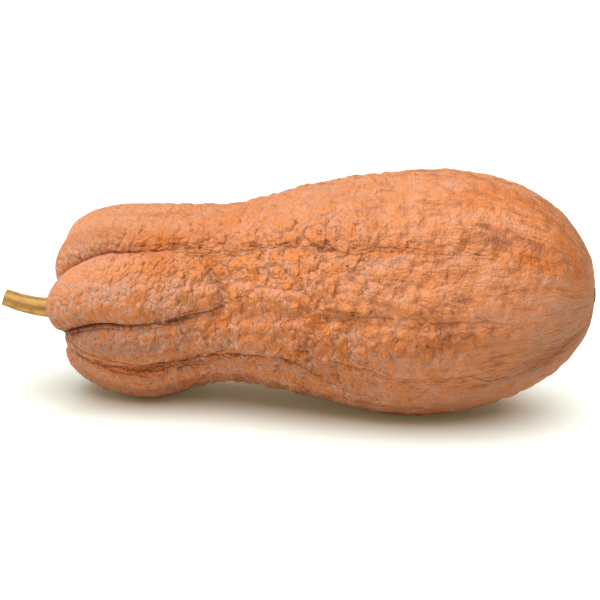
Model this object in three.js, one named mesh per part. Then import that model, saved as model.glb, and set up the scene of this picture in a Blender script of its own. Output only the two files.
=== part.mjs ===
// A wrinkled, ribbed butternut squash lying on its side, with its dry cut stalk.
// Millimetres, +Z up. The fruit lies along X: the lobed stalk end towards -X, the smooth blossom end
// towards +X. The origin is the middle of the whole object's footprint, on the surface it rests on.
import * as THREE from "three";
import { mergeVertices } from "three/addons/utils/BufferGeometryUtils.js";

// Driving dimensions of the fruit

// The rib crests' outline from the stalk seat round the shoulders to the blossom end:
// along the fruit, radius, sideways centre, height of the centre.
const OUTLINE = [
  [15, 0, -6, 53],
  [15, 13, -6, 53],
  [5.5, 22, -4.5, 54.8],
  [0.5, 32, -2, 57],
  [6.5, 45.5, 0, 58.5],
  [26, 55, 0, 58],
  [56, 58.2, 0, 57.4],
  [100, 52.6, 0, 65],
  [150, 62.3, 0, 69],
  [195, 70.1, 0, 69.3],
  [230, 70, 0, 71.6],
  [264, 61.5, 0, 73.6],
  [290, 46, 0, 74],
  [306, 25.5, 0, 73.2],
  [310.5, 9, 0, 73],
  [310, 5.5, 0, 73],
  [311.2, 4, 0, 73],
  [311.2, 0, 0, 73],
];

// The grooves between the ribs, in order round the fruit. Angles are in degrees from the front
// (-Y) upwards: at the stalk seat, on the shoulders, at the blossom end. Then each one's share of
// the groove depth at the stalk end and at the blossom end.
const GROOVES = [
  [-60, -60, -57, 0.35, 1.0],
  [-36, -32.5, -34, 0.95, 1.0],
  [-27, -1.5, -1.5, 0.9, 0.9],
  [24, 46, 33, 1.0, 1.0],
  [68, 80, 66, 0.25, 0.55],
  [110, 116, 105, 0.8, 0.8],
  [150, 152, 144, 0.95, 0.9],
  [188, 188, 183, 1.0, 1.0],
  [224, 224, 222, 0.8, 0.8],
  [262, 262, 262, 0.7, 0.9],
];

// How far each rib's crest stands out of the outline, next to the stalk and on the neck.
// Rib i follows groove i.
const RIB_RISE = [
  [-7, -3.5],
  [-9, 1],
  [2.5, 4.5],
  [0, 0],
  [0.5, 0.5],
  [1.5, 1.5],
  [3, 3],
  [-1, -1],
  [2, 2],
  [-0.5, -0.5],
];

const NECK_GROOVE = 11; // groove depth at the shoulders
const BULB_GROOVE = 1.6; // groove depth on the wide end
const SEAT_EDGE = 14; // distance over the surface from the stalk's centre where grooves begin
const SHOULDER = 45; // where they are at their deepest
const GROOVE_FADE = 66; // how far past the shoulders half of that depth is gone
const BEND_FROM = 22; // the grooves bend from their seat angles to their shoulder angles
const BEND_TO = 92;
const TURN_FROM = 125; // and from those to their blossom-end angles
const TURN_TO = 240;
const END_SMOOTH = 34; // the grooves fade out this far from the blossom scar
const SCAR_EDGE = 9;

const PEBBLE = [11, 14, 14]; // size of the raised blisters along and across the fruit
const PEBBLE_HEIGHT = 2.1;
const PEBBLE_START = 30; // distance over the surface from the stalk where the blisters begin
const PEBBLE_FULL = 140;
const PEBBLE_FADE = 320; // and where they start to fade towards the blossom end
const PEBBLE_END = 395;
const BACK_SHARE = 0.6; // the blisters are lower on the back
const REST_CLEAR = 16; // and fade below this height, where the fruit lay on the ground

// Crumpled folds where the front rib runs into the waist: distance from the stalk, angle,
// half length along the fruit, half width across it, height (negative where it is a crease).
const FOLDS = [
  [155, 9, 5, 14, -2.6],
  [166, 21, 16, 5, -1.8],
  [143, 12, 8, 13, 1.6],
];

const RINGS = 68; // points along the fruit
const PER_RIB = 8; // points across each rib

// Driving dimensions of the stalk

const STALK_GAP = 0.3; // between the stalk's foot and its seat
const STALK_SIDES = 30;
const STALK_STEPS = 20;
const STALK_RIDGES = 5;
const RIDGE_SHARE = 0.1; // ridge height as a share of the radius
// The stalk's centre line: along, sideways, height.
const STALK_LINE = [
  [15 - STALK_GAP, -6, 53],
  [4, -6, 52],
  [-10, -6, 51.4],
  [-24, -6.5, 52.8],
  [-38, -8, 57],
];
const STALK_FOOT = 9; // radius where it meets the fruit
const STALK_WAIST = 6.6;
const STALK_TIP = 5;
const FOOT_LENGTH = 0.24; // share of the stalk's length that flares into the foot

// Numbers and curves

const smooth = (low, high, x) => {
  const t = Math.min(1, Math.max(0, (x - low) / (high - low)));
  return t * t * (3 - 2 * t);
};
const mix = (a, b, t) => a + (b - a) * t;

// One number of a Catmull-Rom curve between the second and third of four rows.
function between([p, q, r, s], c, t) {
  const bend = 2 * p[c] - 5 * q[c] + 4 * r[c] - s[c];
  const twist = 3 * q[c] - p[c] - 3 * r[c] + s[c];
  return 0.5 * (2 * q[c] + (r[c] - p[c]) * t + bend * t ** 2 + twist * t ** 3);
}

// A smooth curve through the outline's rows, as rings evenly spaced over the surface.
function evenRings(rows, count) {
  const mirrored = (row, end) => [row[0], -row[1], end[2], end[3]];
  const all = [mirrored(rows[1], rows[0]), ...rows, mirrored(rows.at(-2), rows.at(-1))];
  const steps = 40;
  const fine = [];
  for (let i = 1; i < all.length - 2; i++) {
    const four = all.slice(i - 1, i + 3);
    for (let k = 0; k < steps; k++) fine.push([0, 1, 2, 3].map((c) => between(four, c, k / steps)));
  }
  fine.push(rows.at(-1));
  const travelled = [0];
  for (let i = 1; i < fine.length; i++) {
    const step = Math.hypot(fine[i][0] - fine[i - 1][0], fine[i][1] - fine[i - 1][1]);
    travelled.push(travelled[i - 1] + step);
  }
  const total = travelled.at(-1);
  const rings = [];
  let i = 1;
  for (let n = 0; n < count; n++) {
    const distance = (total * n) / (count - 1);
    while (i < fine.length - 1 && travelled[i] < distance) i++;
    const t = (distance - travelled[i - 1]) / (travelled[i] - travelled[i - 1]);
    const row = fine[i].map((v, c) => mix(fine[i - 1][c], v, t));
    const forward = fine[i][0] - fine[i - 1][0];
    const outward = fine[i][1] - fine[i - 1][1];
    const length = Math.hypot(forward, outward);
    rings.push({ row, distance, total, normal: [-outward / length, forward / length] });
  }
  return rings;
}

// A repeatable number from 0 to 1 for each cell of space.
const scatter = (i, j, k, n) => {
  const v = Math.sin(i * 127.1 + j * 311.7 + k * 74.7 + n * 53.3) * 43758.5453;
  return v - Math.floor(v);
};

// Rounded blisters with narrow valleys between them: 0 in a valley, 1 on top.
function pebbles(point, size) {
  const p = point.map((v, i) => v / size[i]);
  const cell = p.map(Math.floor);
  let nearest = 9;
  let second = 9;
  for (let dx = -1; dx <= 1; dx++) {
    for (let dy = -1; dy <= 1; dy++) {
      for (let dz = -1; dz <= 1; dz++) {
        const c = [cell[0] + dx, cell[1] + dy, cell[2] + dz];
        const d = Math.hypot(...c.map((v, n) => v + 0.1 + 0.8 * scatter(...c, n) - p[n]));
        if (d < nearest) [nearest, second] = [d, nearest];
        else if (d < second) second = d;
      }
    }
  }
  return smooth(0, 0.55, second - nearest);
}

// The fruit's skin

// How deep the grooves are on a ring, as shares of the stalk-end and blossom-end depths.
function grooveShares({ distance, total }) {
  const begin = smooth(SEAT_EDGE, SHOULDER, distance);
  const past = Math.max(0, distance - SHOULDER) / GROOVE_FADE;
  const neck = 1 / (1 + past ** 3);
  const end = 1 - smooth(total - END_SMOOTH, total - SCAR_EDGE, distance);
  return { neck: begin * neck * end, bulb: begin * (1 - neck) * end, rounded: neck };
}

// A groove's angle in degrees on a ring.
function grooveAngle(groove, distance) {
  const [seat, shoulder, blossom] = GROOVES[groove];
  const bent = mix(seat, shoulder, smooth(BEND_FROM, BEND_TO, distance));
  return mix(bent, blossom, smooth(TURN_FROM, TURN_TO, distance));
}

// How far the folds at the waist lift the skin.
function foldLift(distance, radius, degrees) {
  let lift = 0;
  for (const [at, angle, alongHalf, acrossHalf, height] of FOLDS) {
    const across = THREE.MathUtils.degToRad(degrees - angle) * radius;
    lift += height * Math.exp(-(((distance - at) / alongHalf) ** 2) - (across / acrossHalf) ** 2);
  }
  return lift;
}

// The blisters' height on a ring: none round the stalk, most on the waist, less on the back.
function pebbleLift(ring, cosine, bare) {
  const lengthwise =
    smooth(PEBBLE_START, PEBBLE_FULL, ring.distance) *
    (1 - smooth(PEBBLE_FADE, PEBBLE_END, ring.distance));
  const round = mix(BACK_SHARE, 1, 0.5 + 0.5 * cosine) * smooth(0, REST_CLEAR, bare[2]);
  return PEBBLE_HEIGHT * lengthwise * round * (pebbles(bare, PEBBLE) - 0.6);
}

// One point of the skin: on a ring, on a rib, a share of the way across the rib.
function skinPoint(ring, rib, across) {
  const [along, radius, sideways, height] = ring.row;
  const next = (rib + 1) % GROOVES.length;
  const from = grooveAngle(rib, ring.distance);
  const to = grooveAngle(next, ring.distance) + (next === 0 ? 360 : 0);
  const degrees = mix(from, to, across);
  const cosine = Math.cos(THREE.MathUtils.degToRad(degrees));
  const sine = Math.sin(THREE.MathUtils.degToRad(degrees));

  const share = grooveShares(ring);
  const depthOf = (groove) =>
    NECK_GROOVE * share.neck * GROOVES[groove][3] + BULB_GROOVE * share.bulb * GROOVES[groove][4];
  const arch = (4 * across * (1 - across)) ** mix(0.3, 0.5, share.rounded);
  const fall = mix(depthOf(rib), depthOf(next), across) * (1 - arch);
  const crest = mix(...RIB_RISE[rib], smooth(BEND_FROM, BEND_TO, ring.distance));
  const lift = crest * share.neck * arch - fall + foldLift(ring.distance, radius, degrees);

  const place = (out) => {
    const r = radius + out * ring.normal[1];
    return [along + out * ring.normal[0], sideways - r * cosine, height + r * sine];
  };
  const point = place(lift + pebbleLift(ring, cosine, place(lift)));
  point[2] = Math.max(0, point[2]); // flattened where it lies
  return point;
}

// The fruit: a lathe of the outline whose points are then moved onto the ribbed skin.
function fruitGeometry() {
  const rings = evenRings(OUTLINE, RINGS);
  const profile = rings.map(({ row }) => new THREE.Vector2(Math.max(0, row[1]), row[0]));
  const segments = GROOVES.length * PER_RIB;
  const geometry = new THREE.LatheGeometry(profile, segments);
  const position = geometry.getAttribute("position");
  for (let n = 0; n < position.count; n++) {
    const ring = rings[n % RINGS];
    const step = (segments - Math.floor(n / RINGS)) % segments; // so that the faces point out
    const rib = Math.floor(step / PER_RIB);
    const even = (step % PER_RIB) / PER_RIB;
    const across = even - (0.5 * Math.sin(2 * Math.PI * even)) / (2 * Math.PI); // closer at grooves
    position.setXYZ(n, ...skinPoint(ring, rib, across));
  }
  return closed(geometry);
}

// The stalk: a cylinder bent along its centre line, ridged, flared at the foot.
function stalkGeometry() {
  const line = new THREE.CatmullRomCurve3(STALK_LINE.map((p) => new THREE.Vector3(...p)));
  const geometry = new THREE.CylinderGeometry(1, 1, 1, STALK_SIDES, STALK_STEPS);
  const position = geometry.getAttribute("position");
  const point = new THREE.Vector3();
  const up = new THREE.Vector3(0, 0, 1);
  for (let n = 0; n < position.count; n++) {
    point.fromBufferAttribute(position, n);
    const t = point.y + 0.5;
    const round = Math.atan2(point.z, point.x);
    const centre = line.getPointAt(t);
    const ahead = line.getTangentAt(t);
    if (t === 0) ahead.set(-1, 0, 0);
    const side = new THREE.Vector3().crossVectors(ahead, up).normalize();
    const lift = new THREE.Vector3().crossVectors(side, ahead);
    const foot = (STALK_FOOT - STALK_WAIST) * (1 - smooth(0, FOOT_LENGTH, t));
    const plain = mix(STALK_WAIST, STALK_TIP, t) + foot;
    const ridged = 1 + RIDGE_SHARE * (1 - 0.5 * t) * Math.cos(STALK_RIDGES * round);
    const r = Math.hypot(point.x, point.z) * plain * ridged;
    centre.addScaledVector(side, r * Math.cos(round)).addScaledVector(lift, r * Math.sin(round));
    position.setXYZ(n, centre.x, centre.y, centre.z);
  }
  return closed(geometry);
}

// One closed surface whose shared points are merged.
function closed(geometry) {
  geometry.deleteAttribute("normal");
  geometry.deleteAttribute("uv");
  const merged = mergeVertices(geometry, 1e-3);
  merged.computeVertexNormals();
  return merged;
}

// Materials

const rind = new THREE.MeshStandardMaterial({ color: 0xd08a5e, roughness: 0.6, metalness: 0 });
const stalkSkin = new THREE.MeshStandardMaterial({ color: 0xb08a45, roughness: 0.75, metalness: 0 });

// Assembly

function named(name, geometry, material) {
  const mesh = new THREE.Mesh(geometry, material);
  mesh.name = name;
  return mesh;
}

const squash = new THREE.Group();
squash.add(named("fruit", fruitGeometry(), rind));
squash.add(named("stalk", stalkGeometry(), stalkSkin));

// The origin goes to the middle of the footprint.
const extent = new THREE.Box3().setFromObject(squash, true);
const middle = extent.getCenter(new THREE.Vector3());
for (const mesh of squash.children) mesh.position.set(-middle.x, -middle.y, 0);

export default squash;
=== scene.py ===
"""A wrinkled, ribbed butternut squash with its dry cut stalk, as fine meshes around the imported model.

The skin is worked out by formula from an outline, grooves, folds, blisters and wrinkles. Sizes in the
tables are in millimetres, angles in degrees round the fruit from the front (-Y) upwards, and distances
run over the surface from the middle of the stalk's seat.
"""
import itertools
import math

import bmesh
import bpy
import numpy as np
from bpy.props import FloatProperty, FloatVectorProperty, IntProperty, PointerProperty
from bpy.types import Operator, Panel, PropertyGroup
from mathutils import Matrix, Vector


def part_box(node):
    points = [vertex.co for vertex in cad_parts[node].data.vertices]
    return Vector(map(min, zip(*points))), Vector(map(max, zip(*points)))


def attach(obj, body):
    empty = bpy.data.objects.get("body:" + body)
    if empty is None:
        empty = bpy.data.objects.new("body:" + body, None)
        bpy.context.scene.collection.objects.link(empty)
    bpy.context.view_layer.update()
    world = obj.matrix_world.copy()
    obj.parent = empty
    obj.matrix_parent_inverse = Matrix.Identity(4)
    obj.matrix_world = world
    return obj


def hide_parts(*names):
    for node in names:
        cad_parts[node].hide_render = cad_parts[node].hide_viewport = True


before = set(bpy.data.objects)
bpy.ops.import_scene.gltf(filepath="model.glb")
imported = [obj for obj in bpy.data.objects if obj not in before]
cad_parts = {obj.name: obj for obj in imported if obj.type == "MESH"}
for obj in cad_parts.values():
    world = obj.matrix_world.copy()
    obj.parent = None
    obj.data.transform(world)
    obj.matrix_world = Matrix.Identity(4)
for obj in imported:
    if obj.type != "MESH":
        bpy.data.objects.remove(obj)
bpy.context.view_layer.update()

bl_info = {
    "name": "Ribbed butternut squash",
    "version": (1, 0, 0),
    "blender": (4, 5, 0),
    "location": "3D View > Sidebar > Squash",
    "description": "A wrinkled, ribbed squash with its dry stalk, on a pale floor in soft light",
    "category": "Object",
}

MM = 0.001

# The rib crests' outline: along the fruit, radius, sideways centre, height of the centre.
OUTLINE = (
    (15, 0, -6, 53),
    (15, 13, -6, 53),
    (5.5, 22, -4.5, 54.8),
    (0.5, 32, -2, 57),
    (6.5, 45.5, 0, 58.5),
    (26, 55, 0, 58),
    (56, 58.2, 0, 57.4),
    (100, 52.6, 0, 65),
    (150, 62.3, 0, 69),
    (195, 70.1, 0, 69.3),
    (230, 70, 0, 71.6),
    (264, 61.5, 0, 73.6),
    (290, 46, 0, 74),
    (306, 25.5, 0, 73.2),
    (310.5, 9, 0, 73),
    (310, 5.5, 0, 73),
    (311.2, 4, 0, 73),
    (311.2, 0, 0, 73),
)

# Grooves: angle at the seat, on the shoulders and at the blossom end, then the share of the groove
# depth at the stalk end and at the blossom end.
GROOVES = np.array((
    (-60, -60, -57, 0.35, 1.0),
    (-36, -32.5, -34, 0.95, 1.0),
    (-27, -1.5, -1.5, 0.9, 0.9),
    (24, 46, 33, 1.0, 1.0),
    (68, 80, 66, 0.25, 0.55),
    (110, 116, 105, 0.8, 0.8),
    (150, 152, 144, 0.95, 0.9),
    (188, 188, 183, 1.0, 1.0),
    (224, 224, 222, 0.8, 0.8),
    (262, 262, 262, 0.7, 0.9),
))

# How far each rib's crest stands out, next to the stalk and on the neck. Rib i follows groove i.
RIB_RISE = np.array((
    (-7, -3.5),
    (-9, 1),
    (2.5, 4.5),
    (0, 0),
    (0.5, 0.5),
    (1.5, 1.5),
    (3, 3),
    (-1, -1),
    (2, 2),
    (-0.5, -0.5),
))

# How dark the painted shade in each groove's creases is at these distances, from the shoulder to the blossom
# end.
CREASE_AT = (45, 120, 155, 190, 235, 290, 330, 350)
CREASES = np.array((
    (0.3, 0.3, 0.3, 0.2, 0.2, 0.2, 0.1, 0),
    (1.0, 0.5, 0.1, 0.1, 0.1, 0.1, 0, 0),
    (1.0, 0.9, 0.2, 0.1, 0.1, 0.1, 0, 0),
    (1.0, 1.0, 0.4, 0.2, 0.1, 0.1, 0.05, 0),
    (0.2, 0.15, 0.1, 0.1, 0.1, 0.1, 0, 0),
    (0.7, 0.6, 0.3, 0.2, 0.3, 0.3, 0.05, 0),
    (1.0, 0.8, 0.4, 0.4, 0.3, 0.2, 0.1, 0),
    (1.0, 0.8, 0.5, 0.3, 0.4, 0.4, 0.1, 0),
    (0.8, 0.6, 0.3, 0.3, 0.3, 0.2, 0.05, 0),
    (0.7, 0.6, 0.3, 0.3, 0.3, 0.3, 0.1, 0),
))

# Creases that leave the grooves: how dark their painted shade is, then their points as distance and angle.
CREASE_LINES = (
    (0.5, ((146, 34), (150, 25), (153, 17), (155, 10), (156, 2))),
    (0.4, ((142, 19), (152, 20), (157, 17), (166, 19))),
    (0.5, ((165, 12), (166, 7), (167, 1))),
    (1.0, ((118, -2), (125, -3), (130, -3), (133, -1), (138, 1), (145, 0), (152, 2), (158, 5))),
    (0.9, ((128, 43), (133, 42), (154, 39), (174, 39), (192, 38))),
    (0.6, ((136, 38), (154, 36), (178, 36))),
    (0.7, ((204, 35), (220, 33), (233, 31), (244, 33), (259, 32), (270, 31))),
    (0.5, ((259, 31), (273, 30), (293, 30), (301, 30))),
    (0.9, ((61, -22), (71, -24), (84, -24), (95, -24), (107, -27), (121, -34), (133, -35), (146, -35),
           (160, -34), (179, -30), (191, -29), (200, -32))),
    (0.9, ((61, -37), (73, -37), (90, -35), (107, -36), (120, -37), (132, -38), (144, -39))),
    (0.7, ((191, -30), (198, -32), (205, -36), (216, -39), (227, -44), (243, -46))),
    (0.7, ((219, 3), (231, 1.5), (246, 1.5), (256, 1.5), (264, 2))),
    (0.5, ((213, -4), (224, -2), (235, 0), (240, 1.5))),
    (0.6, ((264, 1.5), (268, 3), (274, 1), (276, -1), (270, -3), (264, -2))),
    (0.6, ((276, -1), (283, -2), (302, -2), (316, -4))),
    (0.6, ((225, -25), (245, -26), (261, -31), (281, -31), (299, -34), (305, -37), (318, -40))),
    (0.4, ((322, -41), (332, -41), (342, -38), (354, -37))),
)
# How near a crease line a point belongs to it, then the depth and half width of the dip along it.
LINE_REACH = 6
LINE_DIP_DEPTH = 0.7
LINE_DIP_HALF = 1.8

# Folds at the waist: distance, angle, half length along, half width across, height.
FOLDS = (
    (155, 9, 5, 14, -2.6),
    (166, 21, 16, 5, -1.8),
    (143, 12, 8, 13, 1.6),
    (176, -1, 18, 4, 0.9),
)

# Patches of deeper orange: distance, angle, half length along, half width across, strength.
ORANGE_PATCHES = (
    (117, 51, 16, 7, 0.9),
    (117, 35, 14, 8, 0.6),
    (152, 68, 16, 12, 0.5),
    (310, 70, 24, 10, 0.8),
    (300, 60, 12, 6, 0.6),
    (334, 30, 18, 7, 0.9),
    (352, 52, 14, 12, 0.7),
    (366, 34, 9, 7, 0.8),
    (354, -37, 18, 5, 0.8),
    (146, 32, 9, 7, 0.6),
    (152, -7, 8, 6, 0.6),
    (105, -36, 26, 4, 0.9),
    (272, -12, 34, 5, 0.7),
    (205, -12, 16, 10, 0.4),
    (262, 33, 30, 4, 0.5),
)

# Where the waxy bloom is thicker, or thinner where it is below 0, in the same way. The thinner patches,
# which turn to the darker colour, are partly painted shade, as on the top lobe's lower side and the wide
# end's lower front;
# the thick ones underneath are partly painted light.
BLOOM_LIGHT_AND_SHADE_PATCHES = (
    (75, 25, 40, 26, 0.25),
    (75, -8, 55, 16, 0.35),
    (85, -30, 60, 16, 0.30),
    (80, -52, 70, 28, 1.1),
    (220, -50, 90, 22, 0.60),
    (225, -18, 60, 14, 0.25),
    (72, 55, 34, 7, -0.30),
    (60, 80, 40, 40, 0.20),
    (165, -32, 50, 14, 0.25),
    (285, -10, 45, 26, -0.15),
    (280, 28, 55, 25, -0.10),
    (330, 35, 40, 40, -0.15),
    (352, -18, 26, 34, 0.5),
)

# Painted light and shade: where the skin is painted paler as light, or darker as shade where it is below 0,
# in the same way.
PAINTED_LIGHT_AND_SHADE_PATCHES = (
    (85, -13, 50, 10, -0.34),
    (75, 12, 40, 12, -0.07),
    (80, -52, 60, 14, 0.34),
    (160, -52, 50, 12, 0.25),
    (225, -52, 60, 14, 0.30),
    (300, -48, 30, 14, -0.10),
    (345, -34, 34, 20, -0.33),
    (290, -16, 40, 16, -0.19),
    (72, 55, 34, 7, -0.20),
    (275, 30, 40, 16, -0.07),
    (335, 58, 28, 14, 0.12),
    (180, 20, 40, 22, 0.07),
    (250, -4, 30, 10, 0.06),
)

# Where the skin is rougher, or smoother where it is below 0, in the same way.
ROUGH_PATCHES = (
    (272, -12, 36, 6, 0.6),
    (72, 27, 42, 14, -0.35),
    (288, 31, 24, 5, 0.25),
    (330, 30, 16, 6, 0.15),
)

# Distances where the grooves begin and where they are deepest, then how slowly the lobes end.
SEAT_EDGE = 14
SHOULDER = 45
GROOVE_FADE = 66
# Where the grooves go over from their angle at the seat to the next, and from that to the last.
BEND = (22, 92)
TURN = (125, 240)
# The wide end's grooves: their half width, where they grow shallow, by how much, and where they end.
BULB_GROOVE_HALF = 5
SHALLOW = (260, 335)
SHALLOW_SHARE = 0.75
END_SMOOTH = 34
# The corky scar, its rim and the skin near it, back from the end. Streaks run round this radius.
SCAR_EDGE = 9
SCAR_RIM = (1.5, 4)
NEAR_SCAR = (42, 12)
STREAK_RADIUS = 58

# Distances where patterns come in or go out: past the seat, past the neck and at the wide end.
SEAT_SKIN = (24, 50)
CREASE_START = (24, 44)
NECK_END = (95, 160)
LOOSE = (100, 180)
SMOOTH_END = (210, 320)
WIDE_END = (215, 300)
DOTTED = ((30, 50), (105, 150))
# How far across a rib its grooves' creases reach.
CREASE_SHARE = (0.28, 0.42)
# Angles, first on the front and then on the back, where the skin faces down, faces up or is low on a lobe.
UNDER = ((-24, -46), (232, 256))
TOP = ((38, 62), (100, 135))
LOW_ON_LOBE = ((32, 12), (215, 240))
# How rough the skin is there, next to 1 elsewhere, and where the fruit rests on the floor.
NECK_ROUGHNESS = 0.75
END_ROUGHNESS = 0.15
TOP_ROUGHNESS = 0.5
UNDER_ROUGHNESS = 1.05
REST_ROUGHNESS = 0.4
REST_CLEAR = 16

# Broad lumps: their size along and across, how wide their valleys are, and where they come in and go out.
LUMP = (11, 14, 14)
LUMP_VALLEY = 0.55
LUMP_START = (30, 140)
LUMP_END = (320, 395)
LUMP_BACK_SHARE = 0.6

# Blisters: the size of their cells along and across, then the smallest and the largest as parts of a cell.
BIG_BLISTERS = ((5.2, 7.4, 7.4), 0.35, 0.85)
MIDDLING_BLISTERS = ((3.6, 5.0, 5.0), 0.3, 0.8)
# Over which noise big blisters grow crowded, and how high they are where they are sparse.
CROWDED = (-0.6, 0.35)
SPARSE_SHARE = 0.5
# How high blisters stand on the neck, the top and the underside, next to 1, and how deep they all are sunk.
NECK_RAISED = 0.45
TOP_RAISED = 0.6
UNDER_RAISED = 0.6
BLISTERS_SUNK = 0.45
# The half width of wandering creases, in their own noise.
CREASE_HALF = 0.1

# Warps that unsettle a pattern: the size of their waves, how far they move a point, and their seed.
BROAD_WARP = (14.0, 2.2, 3)
FINE_WARP = (5.0, 1.2, 13)
SMALL_WARP = (4.0, 0.9, 43)
# Soft noise: the size of its waves, along and across, and its seed.
ROUGHER = ((34, 26, 26), 21)
CROWDING = (17.0, 35)
ROLLS = ((12, 14, 14), 33)
SMALL_ROLLS = ((6, 8, 8), 34)
CREASE_WANDER = ((16, 11, 11), 41)
SMALL_CREASE_WANDER = ((7, 6, 6), 42)
STALK_GRAIN = ((1.6, 1.6, 9), 51)
STALK_KNOBS = ((5, 5, 7), 52)
CUT_GRAIN = (1.1, 53)

# The numbers on the fruit's points that the rind's material reads.
RIND_NUMBERS = (
    "scar", "rough", "groove_way", "groove_strength", "line_way", "line_strength", "loose", "bloom",
    "orange", "under", "end", "tone", "dotted",
)
# Cloudy patterns painted on the rind: waves to the metre, detail and roughness.
CLOUDS = {
    "cloud": (45, 4, 0.6),
    "mottle": (190, 3, 0.6),
    "crinkle": (340, 3, 0.6),
    "fine": (700, 3, 0.6),
}
# Painted blisters: how many to the metre along, how much wider they are across, and their seed.
PAINTED_BLISTERS = {
    "medium": (148, 1.15, 0.1),
    "small": (300, 1.1, 0.3),
    "tiny": (650, 1.0, 0.7),
}
# Painted wrinkles: the places they follow, waves to the metre along and across, detail and roughness.
WRINKLES = {
    "crosswise": ("unbent", (420, 130, 130), 3, 0.55),
    "lengthwise": ("spread", (95, 420, 420), 3, 0.55),
    "streaks": ("spread", (30, 150, 150), 4, 0.6),
}
# Painted shade in creases along the grooves, then along the lines of creases: how dark, how far beside their
# groove or line, half width, seed, and how much of them is broken off.
GROOVE_CREASES = (
    (1.0, 0, 1.1, 0, 0.36),
    (0.8, -2.8, 0.8, 3.1, 0.48),
    (0.8, 2.6, 0.8, 5.7, 0.48),
)
LINE_CREASES = (
    (1.0, 0, 1.1, 7.3, 0.30),
    (1.0, -2.0, 0.8, 9.1, 0.46),
    (1.0, 2.2, 0.8, 2.7, 0.5),
)
# How far creases wander from the grooves, on the lobes and how much more past them, and from the lines.
CREASE_WANDERS = (1.5, 14)
LINE_WANDERS = 6
CREASE_BEND = (85, 4, 0.65)
CREASE_BREAKS = (38, 3, 0.6)
CREASE_FADE = 0.12
# How dark the painted shade in the creases is.
CREASE_DARK = 0.8

# How much paler each pattern makes the rind, and how much more in some places.
PALE_SHARES = {
    "mottle": (0.8, {"end": -0.4}),
    "crinkle": (0.8, {"under": 0.8, "end": -0.5}),
    "fine": (0.9, {"under": 0.7, "end": -0.6}),
    "cloud": (1.6, {}),
    "lengthwise": (0.4, {"under": 1.4, "end": 1.2}),
    "streaks": (0.5, {"end": 2.4}),
}
DOTTED_PALE = 0.42
# How high each pattern stands: what its height grows with, its height, and how much more in some places.
PAINTED_HEIGHTS = {
    "medium": ("rough", 4.4, {"lobe": -2.2}),
    "small": ("rough", 1.5, {"lobe": 1.2}),
    "tiny": ("even", 0.8, {"under": 1.0}),
    "crosswise": ("even", 2.4, {"loose": 0.4, "end": -2.4}),
    "lengthwise": (None, 0.6, {"under": 2.2, "end": 1.2}),
    "streaks": ("end", 2.5, {}),
    "mottle": (None, 0.8, {}),
    "crinkle": (None, 0.9, {"under": 2.2, "end": -0.4}),
    "fine": (None, 0.7, {"under": 0.8, "end": -0.3}),
    "crease": (None, -0.7, {}),
}
# Over which paleness the darker painted shade and tone turn to rind and rind to bloom, then how strong a
# pattern starts to colour.
RIND_RANGE = (-0.2, 0.5)
BLOOM_RANGE = (0.4, 1.0)
CROWN_RANGE = (0.3, 0.8)
DOT_RANGE = (0.5, 0.72)
PATCH_RANGE = (0.3, 0.55)
CORK_RANGE = (0.35, 0.65)

# The stalk: its line from the seat to the tip, its radii, its ridges and their slow twist, its mesh,
# its hollow cut, and the fibres and blotches painted on it.
STALK_GAP = 0.3
STALK_RIDGES = 5
STALK_LINE = (
    (15 - STALK_GAP, -6, 53),
    (4, -6, 52),
    (-10, -6, 51.4),
    (-24, -6.5, 52.8),
    (-38, -8, 57),
)
STALK_FOOT = 9
STALK_WAIST = 6.6
STALK_TIP = 5
STALK_RIDGE_SHARE = 0.1
STALK_FOOT_LENGTH = 0.24
STALK_SUNK = 2.0
STALK_TWIST = 0.35
STALK_TURN = 0.4
STALK_RINGS = 170
STALK_SEGMENTS = 100
FOOT_RINGS = 8
CUT_RINGS = 14
CUT_DEPTH = 0.7
CUT_HOLLOW = (0, 0.7)
CUT_EDGE = (0.02, 0.12)
FIBRES = (1400, 4, 0.6)
BLOTCHES = (160, 3, 0.6)

# The soft lights: azimuth from the front, elevation and width, in degrees.
LEFT_LIGHT = (-38, 69, 38)
LOW_LIGHT = (-48, 24, 26)
OVERHEAD_LIGHT = (44, 74, 80)
# Where the light from all round grows weaker, rightwards, and by how much.
ROOM_DIMS = (-0.1, 1.0)
ROOM_DIM_SHARE = 0.8
FLOOR_HALF = 15
SENSOR_WIDTH = 36


def srgb(red, green, blue):
    """A colour given as it shows on a screen, from 0 to 255, as light from 0 to 1."""
    shown = np.array((red, green, blue)) / 255
    return tuple(np.where(shown > 0.04045, ((shown + 0.055) / 1.055) ** 2.4, shown / 12.92))


def colour(name, description, default):
    return FloatVectorProperty(
        name=name, description=description, subtype="COLOR", size=3, min=0, max=1, default=default
    )


def length(name, description, default):
    return amount(name, description, default, unit="LENGTH", min=0)


def amount(name, description, default, **limits):
    return FloatProperty(name=name, description=description, default=default, **limits)


class FruitForm(PropertyGroup):
    """Sizes of the fruit's ribs, blisters and wrinkles."""

    neck_groove: length("Neck groove", "Depth of the grooves at the shoulders", 11 * MM)
    bulb_groove: length("Bulb groove", "Depth of the grooves on the wide end", 1.6 * MM)
    lump_height: length("Lump height", "Height of the broad lumps under the blisters", 1.1 * MM)
    blister_height: length("Blister height", "Height of the round blisters", 3.0 * MM)
    crinkle_height: length("Crinkle height", "Height of the smaller blisters", 1.2 * MM)
    roll_height: length("Roll height", "Height of the soft rolls under the blisters", 1.0 * MM)
    crease_depth: length("Crease depth", "Depth of the wandering creases", 0.6 * MM)
    around: IntProperty(name="Around", description="Mesh points across each rib", min=6, default=32)
    rings: IntProperty(name="Rings", description="Rings of mesh points along", min=60, default=300)


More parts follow.
